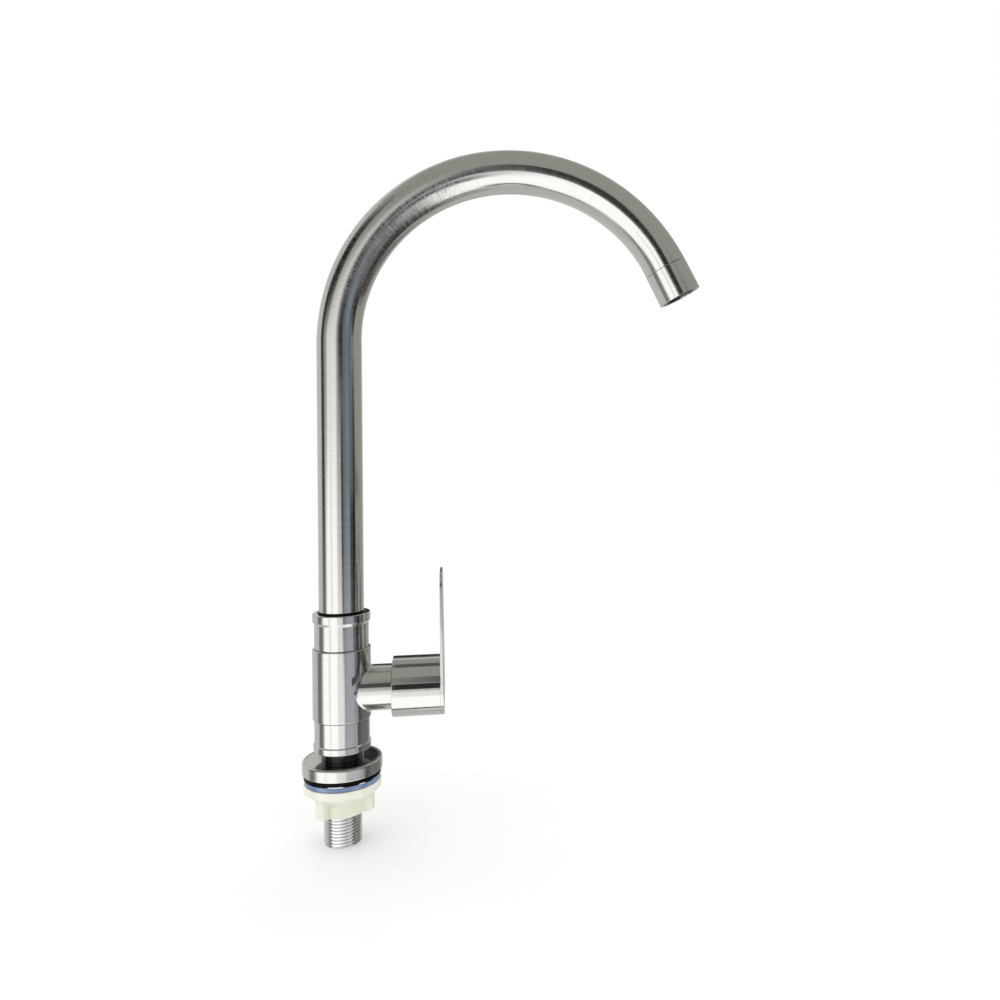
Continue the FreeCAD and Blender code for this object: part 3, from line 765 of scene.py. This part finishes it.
def steel(name, base, roughness, line_depth, around=1.0, on_cad=False, worn=None, spot=None,
          smooth_above=None):
    """Satin steel with fine lines around the piece and soft smudges.

    worn is the stretch along the piece with stronger brush marks, spot is a dark speck's place,
    and smooth_above is the height above which the steel is polished."""
    material, n, shader = new_material(name, Metallic=1.0, Anisotropic=0.0 if on_cad else 0.6,
                                       Anisotropic_Rotation=0.25)
    place = n.object_place()
    if on_cad:
        fine = n.noise(n.scaled(place, (120, 120, 4000)), 1.0, 4.0, 0.6)
        broad = n.noise(place, 300.0)
    else:
        turning = n.put("ShaderNodeAttribute", output="Vector", attribute_name="turning")
        fine = n.noise(n.scaled(turning, (around, around, 2.0)), 1.0, 4.0, 0.65)
        broad = n.noise(n.scaled(turning, (around * 0.6, around * 0.6, 0.5)), 1.0, 4.0, 0.6)
        tangent = n.put("ShaderNodeTangent", direction_type="UV_MAP", uv_map="brushing")
        link(n, tangent, shader, "Tangent")
    smudges = n.range(n.noise(place, 45.0, 5.0, 0.6), 0.42, 0.7)
    rough = n.sum(n.range(fine, 0.25, 0.75, roughness - 0.03, roughness + 0.04, soft=False),
                  n.times(smudges, 0.025))
    rough = n.sum(rough, n.range(broad, 0.3, 0.7, -0.015, 0.02))
    dark = colour(*[c * 0.95 for c in base])
    light = colour(*[c * 1.03 for c in base])
    smudged = colour(base[0] * 0.92, base[1] * 0.9, base[2] * 0.86)
    tint = n.mix(n.range(fine, 0.3, 0.7), dark, light)
    tint = n.mix(n.times(smudges, 0.125), tint, smudged)
    depth = line_depth
    if worn:
        stretch = n.within(n.split(turning)[2], *worn, 30)
        strokes = n.noise(n.scaled(turning, (3.0, 3.0, 1.6)), 1.0, 2.0)
        rough = n.sum(rough, n.times(stretch, n.range(strokes, 0.4, 0.65, -0.02, 0.1)))
        patches = n.times(stretch, n.range(strokes, 0.5, 0.68, 0.0, 0.3))
        tint = n.mix(patches, tint, colour(0.3, 0.3, 0.28))
        depth = n.sum(n.times(stretch, 0.05), line_depth)
    if spot:
        away = n.put("ShaderNodeVectorMath", {0: place, 1: spot}, output="Value",
                     operation="DISTANCE")
        tint = n.mix(n.range(away, 0.0004, 0.0016, 0.85, 0.0), tint, colour(0.05, 0.05, 0.06))
    if smooth_above:
        polish = n.range(n.split(place)[2], smooth_above - 0.0003, smooth_above, 0.0, -0.1)
        rough = n.sum(rough, polish)
    link(n, rough, shader, "Roughness")
    link(n, tint, shader, "Base Color")
    link(n, n.bump(n.sum(fine, n.times(broad, 0.6)), depth, 0.00002), shader, "Normal")
    return material


def rubber(name, gloss, smoothest, roughest):
    material, n, shader = new_material(name, Specular_IOR_Level=gloss)
    place = n.object_place()
    cloud = n.noise(place, 150.0, 4.0)
    tint = n.mix(n.range(cloud, 0.4, 0.7), colour(0.0008, 0.0008, 0.0008),
                 colour(0.003, 0.0027, 0.0025))
    link(n, tint, shader, "Base Color")
    link(n, n.range(cloud, 0.3, 0.7, smoothest, roughest), shader, "Roughness")
    link(n, n.bump(n.noise(place, 2500.0), 0.12, 0.0001), shader, "Normal")
    return material


def painted_rim_light_and_shade(n, place, tint):
    """Painted highlights on the blue washer's upper rim, and a painted contact shadow along its
    foot on the nut.
    """
    band_low = (rubber_low - 0.8) * mm
    band_high = (rubber_low - 0.6) * mm
    contact_shade_low = (nut_z + 0.2) * mm
    contact_shade_high = (nut_z + 0.5) * mm
    x, y, z = n.split(place)
    azimuth = n.azimuth(x, y)
    upper = n.range(z, band_low, band_high)
    # painted highlight arcs on the upper rim
    for left, right in painted_highlight_arcs:
        arc = n.times(upper, n.within(azimuth, left, right, 2))
        tint = n.mix(arc, tint, colour(0.9, 0.92, 0.96))
    # painted contact shadow along the washer's foot
    return n.mix(n.range(z, contact_shade_low, contact_shade_high, 1.0, 0.0), tint, colour(0.03, 0.035, 0.04))


def nut_recess_painted_shade(n, place, tint):
    """Painted shade: the ivory nut is darker and yellower deep between its lugs, most of all at its
    front left.
    """
    deep_r = (nut_boss_r + 0.3) * mm
    clear_r = (nut_boss_r + 2) * mm
    x, y, _ = n.split(place)
    azimuth = n.azimuth(x, y)
    radius = n.put("ShaderNodeVectorMath", {0: n.scaled(place, (1, 1, 0))}, output="Value",
                   operation="LENGTH")
    front = n.times(n.range(azimuth, -56, -48), n.range(azimuth, -24, -14, 1.0, 0.0))
    deep = n.times(n.range(radius, deep_r, clear_r, 1.0, 0.0), n.range(front, 0, 1, 0.12, 0.6))
    # painted shade in the recess between the lugs
    return n.mix(deep, tint, colour(0.68, 0.68, 0.42))


def plastic(name, base, shade, roughness, translucent, detail=None):
    """Moulded plastic: faint cloudiness, flow marks and a grained skin."""
    material, n, shader = new_material(name, Subsurface_Weight=translucent,
                                       Subsurface_Radius=(0.004, 0.004, 0.003))
    place = n.object_place()
    cloud = n.noise(place, 120.0, 4.0)
    grain = n.noise(place, 3000.0)
    flow = n.noise(n.scaled(place, (200, 200, 900)), 1.0, 2.0)
    tint = n.mix(n.range(cloud, 0.35, 0.7), colour(*base), colour(*shade))
    # detail paints highlights and shade into the colour
    link(n, detail(n, place, tint) if detail else tint, shader, "Base Color")
    link(n, n.range(cloud, 0.3, 0.7, roughness - 0.05, roughness + 0.08), shader, "Roughness")
    height = n.sum(n.times(grain, 0.5), n.times(flow, 0.8))
    link(n, n.bump(height, 0.1, 0.0002), shader, "Normal")
    return material


def ceramic():
    material, n, shader = new_material("ceramic_disc", Coat_Weight=0.3)
    cloud = n.noise(n.object_place(), 400.0, 4.0)
    tint = n.mix(n.range(cloud, 0.4, 0.6), colour(0.86, 0.85, 0.8), colour(0.9, 0.89, 0.86))
    link(n, tint, shader, "Base Color")
    link(n, n.range(cloud, 0.3, 0.7, 0.12, 0.25), shader, "Roughness")
    return material


steel_base = (0.62, 0.615, 0.6)
dark_speck = (0.0092, -0.0132, valve_z * mm + 0.0005)    # on the body, beside the branch
worn_shoulder = (190, 290)   # millimetres along the tube
materials = {
    "spout_steel": steel("spout_steel", steel_base, 0.15, 0.06, around=1.2, worn=worn_shoulder),
    "body_steel": steel("body_steel", steel_base, 0.14, 0.05, spot=dark_speck),
    "flange_steel": steel("flange_steel", steel_base, 0.2, 0.06,
                          smooth_above=(neck_z - 0.2) * mm),
    "handle_steel": steel("handle_steel", steel_base, 0.13, 0.05),
    "thread_steel": steel("thread_steel", (0.75, 0.75, 0.75), 0.1, 0.03),
    # dark steel for the aerator housing: painted shade inside the outlet
    "outlet_shade_steel": steel("outlet_shade_steel", (0.1, 0.1, 0.1), 0.25, 0.06),
    "mesh_steel": steel("mesh_steel", (0.4, 0.4, 0.4), 0.3, 0.2, on_cad=True),
    "spring_steel": steel("spring_steel", (0.4, 0.4, 0.42), 0.25, 0.2, on_cad=True),
    "brass": steel("turned_brass", (0.72, 0.56, 0.3), 0.25, 0.2, on_cad=True),
    "ceramic": ceramic(),
    "black_rubber": rubber("black_rubber", 0.08, 0.3, 0.45),
    "neck_rubber": rubber("neck_rubber", 0.75, 0.1, 0.18),
    # the blue washer carries a painted rim highlight and a painted contact shadow
    "blue_plastic": plastic("blue_plastic", (0.13, 0.2, 0.36), (0.24, 0.32, 0.47), 0.16, 0.2,
                            painted_rim_light_and_shade),
    # the ivory nut carries painted shade between its lugs
    "ivory_plastic": plastic("ivory_plastic", (0.78, 0.785, 0.66), (0.84, 0.84, 0.76), 0.35, 0.3,
                             nut_recess_painted_shade),
    "white_plastic": plastic("white_plastic", (0.8, 0.8, 0.78), (0.85, 0.85, 0.83), 0.4, 0.1),
}

# Pieces: each one stands for a node, rides on its body and takes its slot's finish

skins = [
    (swan_neck, "spout_tube"), (nozzle, "outlet_nozzle"), (aerator, "aerator_housing"),
    (upper_collar, "upper_collar"), (body, "tee_body"), (lower_collar, "lower_collar"),
    (branch, "valve_socket"), (neck_ring, "neck_ring"), (flange, "base_flange"),
    (rubber_washer, "rubber_washer"), (clamp_washer, "clamp_washer"),
    (helical_thread, "inlet_shank"), (backnut, "backnut"), (handle_sleeve, "handle_sleeve"),
    (lever_blade, "lever_blade")]

slot_of = {part["node"]: part["material_slot"] for part in frame["record"]["subparts"]}
body_of = {node: name for name, members in frame["record"]["behaviour"]["bodies"].items()
           for node in members}

# Pieces whose finish differs from their slot's; the aerator housing's dark steel is painted shade
# for the inside of the outlet
own_finish = {"neck_ring": "neck_rubber", "base_flange": "flange_steel",
              "aerator_housing": "outlet_shade_steel"}

for make, node in skins:
    piece = make()
    piece.data.materials.append(materials[own_finish.get(node, slot_of[node])])
    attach(piece, body_of[node])
    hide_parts(node)

# dark ring as painted shade at the collar's mouth
shade_ring = collar_shade_ring()
shade_ring.data.materials.append(materials["black_rubber"])
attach(shade_ring, "body")

for name, node in nodes.items():
    node.data.materials.clear()
    node.data.materials.append(materials[slot_of[name]])


# Studio: pale floor, soft light and the camera

def studio_floor():
    bpy.ops.mesh.primitive_plane_add(size=8.0, location=(0, 0, cad_low.z))
    floor = bpy.context.active_object
    floor.name = "studio_floor"
    material, n, shader = new_material("floor_paper", Roughness=0.9, Specular_IOR_Level=0.1)
    tint = n.mix(n.noise(n.object_place(), 30.0), colour(0.92, 0.92, 0.92),
                 colour(0.94, 0.94, 0.94))
    link(n, tint, shader, "Base Color")
    floor.data.materials.append(material)
    floor.visible_glossy = False


# Soft boxes and dark cloths far around the tap, seen only in its reflections. A row holds the
# azimuths of both its sides and the softness there, the same for elevation, all in degrees, and
# the colour. Azimuth 0 is the camera's side and 90 the lever's side; later rows cover earlier ones.
paper_white = (1.6, 1.6, 1.58)
surroundings = [
    (-200, 200, 1, -99, 99, 1, (0.42, 0.415, 0.38)),
    (-200, -98, 8, -40, 50, 10, (0.74, 0.73, 0.7)),
    (150, 200, 12, -40, 50, 10, (0.6, 0.59, 0.56)),
    (-200, 200, 1, -99, -30, 12, (0.68, 0.67, 0.64)),
    (92, 150, 10, -75, -30, 12, (0.5, 0.49, 0.46)),
    (-80, 94, 14, -99, -26, 10, paper_white),
    (-71, -5, 14, -99, -1, 8, paper_white),
    (-60, -8, 14, -5, 11, 34, paper_white),
    (-44, -37, 4, -20, 8, 12, (1.1, 1.1, 1.09)),
    (-5, 18, 6, -26, -8, 6, (1.2, 1.2, 1.2)),
    (-11, 11, 6, -8, -1, 5, (0.76, 0.76, 0.77)),
    (-6, 15, 6, -1, 8, 6, (0.5, 0.5, 0.5)),
    (15, 25, 3, -5, 14, 5, (0.25, 0.25, 0.25)),
    (24, 70, 3, -12, 22, 8, (0.16, 0.2, 0.24)),
    (34, 58, 8, -14, 6, 8, (0.27, 0.33, 0.39)),
    (24, 62, 6, -25, -9.5, 3, (0.52, 0.55, 0.59)),
    (60, 72, 6, -25, -11, 4, (0.24, 0.24, 0.25)),
    (56, 76, 4, -12, -1, 6, (0.04, 0.04, 0.05)),
    (72, 98, 6, -40, -20, 4, (0.1, 0.1, 0.1)),
    (72, 98, 6, -20, -12, 4, (0.16, 0.16, 0.16)),
    (70, 84, 4, -17, -12, 2, (0.04, 0.04, 0.04)),
    (62, 74, 3, -20, -17, 2, (0.9, 0.9, 0.9)),
    (98, 150, 8, -27, -13.5, 3, (0.22, 0.215, 0.2)),
    (86, 125, 6, -14.6, -8, 1.5, (0.02, 0.02, 0.02)),
    (72, 87, 3, -13, 6, 6, (0.003, 0.003, 0.003)),
    (-97, -78, 5, -8, 26, 8, (0.05, 0.05, 0.05)),
    (-99, -78, 8, -40, -8, 8, (0.24, 0.24, 0.23)),
    (-92, -50, 14, 16, 46, 14, (0.02, 0.02, 0.02)),
    (-190, -171.2, 2, 4, 38, 6, (0.02, 0.02, 0.02)),
    (-90, 90, 10, -85, -77, 4, (0.05, 0.05, 0.05)),
]

# Grey cards near the tap, seen only in its reflections: corner, two sides and the grey, in metres
branch_card_x = 0.01
sleeve_x = sleeve_start * mm
sleeve_z = valve_z * mm
sleeve_side = ((blade_back - sleeve_start) * mm, 0, 0)
cards = {
    "camera_cloth": ((0.04, -0.5, 0.268), (0.18, 0, 0), (0, 0, 0.272), 0.03),
    "camera_front": ((0.03, -0.5, 0.222), (0.19, 0, 0), (0, 0, 0.046), 0.25),
    "camera_side": ((-0.02, -0.5, 0.25), (0.06, 0, 0), (0, 0, 0.29), 0.25),
    "tripod_cloth": ((0.1, -0.5, 0.08), (0.1, 0, 0), (0, 0, 0.142), 0.03),
    "tripod_low": ((0.1, -0.5, 0.015), (0.09, 0, 0), (0, 0, 0.065), 0.02),
    "tripod_foot": ((0.115, -0.5, -0.05), (0.075, 0, 0), (0, 0, 0.065), 0.2),
    "sleeve_cloth": ((sleeve_x, -0.022, sleeve_z + 0.0023), sleeve_side, (0, 0, 0.0048), 0.04),
    "branch_cloth": ((branch_card_x, -0.017, sleeve_z + 0.0038),
                     (sleeve_x - 0.0003 - branch_card_x, 0, 0), (0, 0, 0.0046), 0.1),
    "sleeve_top_cloth": ((sleeve_x, -0.012, sleeve_z + 0.029), sleeve_side, (0, 0.006, 0), 0.12),
    "shoulder_cloth": ((0.165, -0.6, 0.15), (0.45, 0, 0), (0, 0.52, 0), 0.2),
    "shoulder_end": ((0.165, -0.08, 0.15), (0.45, 0, 0), (0, 0.18, 0), 0.06),
}


def reflected_card(name, corner, side, rise, grey):
    """Flat card that only glossy rays see."""
    corner, side, rise = Vector(corner), Vector(side), Vector(rise)
    mesh = bpy.data.meshes.new(name)
    points = [corner, corner + side, corner + side + rise, corner + rise]
    mesh.from_pydata(points, [], [(0, 1, 2, 3)])
    card = bpy.data.objects.new(name, mesh)
    bpy.context.scene.collection.objects.link(card)
    material = bpy.data.materials.new(name)
    material.use_nodes = True
    n = Nodes(material.node_tree)
    light = n.put("ShaderNodeEmission", {"Color": colour(grey, grey, grey)})
    n.tree.links.new(light, n.tree.nodes["Material Output"].inputs["Surface"])
    mesh.materials.append(material)
    card.visible_camera = False
    card.visible_diffuse = False
    card.visible_transmission = False
    card.visible_shadow = False


def studio_cards():
    for name, card in cards.items():
        reflected_card(name, *card)


def studio_world():
    """Even light from all around; reflections see the soft boxes, and the camera sees white."""
    world = bpy.data.worlds.new("studio")
    bpy.context.scene.world = world
    world.use_nodes = True
    n = Nodes(world.node_tree)
    x, y, z = n.split(n.put("ShaderNodeTexCoord", output="Generated"))
    azimuth = n.azimuth(x, y)
    elevation = n.times(n.put("ShaderNodeMath", {0: z}, operation="ARCSINE"), 180 / math.pi)
    reflected = colour(0.5, 0.5, 0.5)
    for left, right, side_soft, low, high, soft, tone in surroundings:
        share = n.within(elevation, low, high, soft)
        if right - left < 360:
            share = n.times(share, n.within(azimuth, left, right, side_soft))
        reflected = n.mix(share, reflected, colour(*tone))
    even = n.mix(n.range(x, -1.0, 1.0), colour(1.3, 1.3, 1.29), colour(0.98, 0.98, 0.99))
    glossy_ray = n.put("ShaderNodeLightPath", output="Is Glossy Ray")
    camera_ray = n.put("ShaderNodeLightPath", output="Is Camera Ray")
    light = n.mix(camera_ray, n.mix(glossy_ray, even, reflected), colour(1.0, 1.0, 1.0))
    n.tree.links.new(light, n.tree.nodes["Background"].inputs["Color"])
    world.cycles.sampling_method = "NONE"


def studio_camera():
    """Camera at the photograph's viewing angle; its turns are from looking along +Y."""
    place = (0.06841, -0.47685, 0.17695)
    turn = 0.154
    tilt = -0.004
    roll = -0.007
    lens_per_width = 0.804572
    camera = bpy.data.cameras.new("camera")
    camera.sensor_width = 36.0
    camera.lens = lens_per_width * camera.sensor_width
    camera.shift_x = -0.086054
    camera.shift_y = -0.038449
    camera.clip_start = 0.01
    holder = bpy.data.objects.new("camera", camera)
    bpy.context.scene.collection.objects.link(holder)
    holder.matrix_world = (Matrix.Translation(place) @ Matrix.Rotation(-turn, 4, "Z")
                           @ Matrix.Rotation(math.pi / 2 + tilt, 4, "X")
                           @ Matrix.Rotation(roll, 4, "Z"))
    bpy.context.scene.camera = holder


studio_floor()
studio_cards()
studio_world()
studio_camera()
bpy.context.scene.view_settings.view_transform = "Standard"
